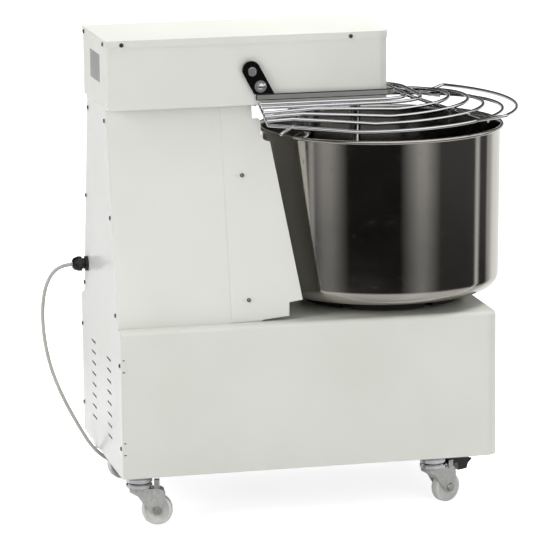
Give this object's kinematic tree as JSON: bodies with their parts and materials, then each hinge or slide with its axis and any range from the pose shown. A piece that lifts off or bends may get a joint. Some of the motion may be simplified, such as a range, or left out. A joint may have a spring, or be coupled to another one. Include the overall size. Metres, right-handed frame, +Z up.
{
  "type": "spiral dough mixer",
  "caption": "Motor-driven spiral dough mixer: sheet-metal body with a turning steel bowl, a spiral hook, a hinged wire guard and swivel casters.",
  "frame": {"origin": "floor level, in the middle of the bounding box without the power cord", "axes": "+Z up, -Y towards the operator and the bowl, +Y towards the rear cover, +X to the operator's right"},
  "size_m": [0.5456, 0.8038, 0.805],
  "materials": {
    "white_paint": "satin powder coat",
    "frame_steel": "dark paint",
    "bowl_steel": "brushed stainless",
    "tool_steel": "polished stainless",
    "chrome": "bright chrome",
    "zinc": "zinc plated",
    "cast": "painted casting",
    "nylon": "natural nylon",
    "black_plastic": "matte",
    "grey_pvc": "smooth pvc",
    "green_plastic": "gloss",
    "red_plastic": "gloss",
    "plate_aluminium": "satin",
    "bearing_steel": "ground"
  },
  "bodies": {
    "frame": {"base_frame": "frame_steel", "base_shell": "white_paint", "rear_cover": "white_paint", "column_frame": "frame_steel", "column_side_left": "white_paint", "column_side_right": "white_paint", "column_front_cover": "white_paint", "head_frame": "frame_steel", "head_shell": "white_paint", "head_lid": "white_paint", "panel_screws": "zinc", "rating_plate": "plate_aluminium", "motor": "cast", "gear_reducer": "cast", "drive_bearings": "bearing_steel", "bowl_bearings": "bearing_steel", "spiral_bearings": "bearing_steel", "bowl_chain": "zinc", "spiral_chain": "zinc", "breaker_bar": "tool_steel", "bar_nut": "zinc", "guard_bushes": "black_plastic", "guard_switch": "black_plastic", "button_plate": "plate_aluminium", "caster_mounts": "chrome", "cable_gland": "black_plastic", "power_cord": "grey_pvc", "cord_coil": "grey_pvc", "power_plug": "grey_pvc"},
    "drive": {"drive_shaft": "bearing_steel", "bowl_pinion": "zinc", "spiral_pinion": "zinc"},
    "bowl": {"bowl": "bowl_steel", "bowl_turntable": "tool_steel", "bowl_shaft": "bearing_steel", "bowl_sprocket": "zinc"},
    "spiral": {"spiral_hook": "tool_steel", "spiral_shaft": "tool_steel", "spiral_sprocket": "zinc"},
    "guard": {"guard_grille": "chrome", "guard_rail": "chrome", "guard_brackets": "chrome", "guard_pivot_shaft": "chrome", "guard_screws": "chrome"},
    "start_button": {"start_button": "green_plastic"},
    "stop_button": {"stop_button": "red_plastic"},
    "rear_left_caster": {"rear_left_fork": "zinc", "rear_left_axle": "zinc"},
    "rear_left_wheel": {"rear_left_wheel": "nylon"},
    "rear_right_caster": {"rear_right_fork": "zinc", "rear_right_axle": "zinc"},
    "rear_right_wheel": {"rear_right_wheel": "nylon"},
    "front_left_caster": {"front_left_fork": "zinc", "front_left_axle": "zinc"},
    "front_left_wheel": {"front_left_wheel": "nylon"},
    "front_left_brake": {"front_left_brake": "black_plastic"},
    "front_right_caster": {"front_right_fork": "zinc", "front_right_axle": "zinc"},
    "front_right_wheel": {"front_right_wheel": "nylon"},
    "front_right_brake": {"front_right_brake": "black_plastic"}
  },
  "joints": [
    {"name": "bowl_spin", "type": "hinge", "parent": "frame", "child": "bowl", "pos_m": [0, -0.13175, 0.353], "axis": [0, 0, 1], "continuous": true},
    {"name": "drive_spin", "type": "hinge", "parent": "frame", "child": "drive", "pos_m": [0, 0.17825, 0.5], "axis": [0, 0, 1], "continuous": true},
    {"name": "spiral_spin", "type": "hinge", "parent": "frame", "child": "spiral", "pos_m": [0, -0.00715, 0.69], "axis": [0, 0, 1], "continuous": true},
    {"name": "guard_hinge", "type": "hinge", "parent": "frame", "child": "guard", "pos_m": [0, 0.11725, 0.7465], "axis": [-1, 0, 0], "range_deg": [0, 80]},
    {"name": "start_button_press", "type": "slide", "parent": "frame", "child": "start_button", "axis": [-1, 0, 0], "range_m": [0, 0.004], "stiffness_N_per_m": 400, "springref_m": -0.002},
    {"name": "stop_button_press", "type": "slide", "parent": "frame", "child": "stop_button", "axis": [-1, 0, 0], "range_m": [0, 0.004], "stiffness_N_per_m": 400, "springref_m": -0.002},
    {"name": "rear_left_swivel", "type": "hinge", "parent": "frame", "child": "rear_left_caster", "pos_m": [-0.152, 0.32525, 0.072], "axis": [0, 0, 1], "continuous": true},
    {"name": "rear_left_roll", "type": "hinge", "parent": "rear_left_caster", "child": "rear_left_wheel", "pos_m": [-0.15803, 0.29688, 0.026], "axis": [0.9781, -0.2079, 0], "continuous": true},
    {"name": "rear_right_swivel", "type": "hinge", "parent": "frame", "child": "rear_right_caster", "pos_m": [0.152, 0.32525, 0.072], "axis": [0, 0, 1], "continuous": true},
    {"name": "rear_right_roll", "type": "hinge", "parent": "rear_right_caster", "child": "rear_right_wheel", "pos_m": [0.15951, 0.29724, 0.026], "axis": [0.9659, 0.2588, 0], "continuous": true},
    {"name": "front_left_swivel", "type": "hinge", "parent": "frame", "child": "front_left_caster", "pos_m": [-0.152, -0.18025, 0.072], "axis": [0, 0, 1], "continuous": true},
    {"name": "front_left_roll", "type": "hinge", "parent": "front_left_caster", "child": "front_left_wheel", "pos_m": [-0.13929, -0.20631, 0.026], "axis": [0.8988, 0.4384, 0], "continuous": true},
    {"name": "front_left_brake_tip", "type": "hinge", "parent": "front_left_caster", "child": "front_left_brake", "pos_m": [-0.13951, -0.20587, 0.07], "axis": [0.8988, 0.4384, 0], "range_deg": [0, 10]},
    {"name": "front_right_swivel", "type": "hinge", "parent": "frame", "child": "front_right_caster", "pos_m": [0.152, -0.18025, 0.072], "axis": [0, 0, 1], "continuous": true},
    {"name": "front_right_roll", "type": "hinge", "parent": "front_right_caster", "child": "front_right_wheel", "pos_m": [0.15604, -0.20897, 0.026], "axis": [0.9903, 0.1392, 0], "continuous": true},
    {"name": "front_right_brake_tip", "type": "hinge", "parent": "front_right_caster", "child": "front_right_brake", "pos_m": [0.15597, -0.20847, 0.07], "axis": [0.9903, 0.1392, 0], "range_deg": [0, 10]}
  ],
  "couplings": [
    {"joint": "drive_spin", "follows": "bowl_spin", "ratio": 7.5},
    {"joint": "spiral_spin", "follows": "bowl_spin", "ratio": 7.5}
  ]
}
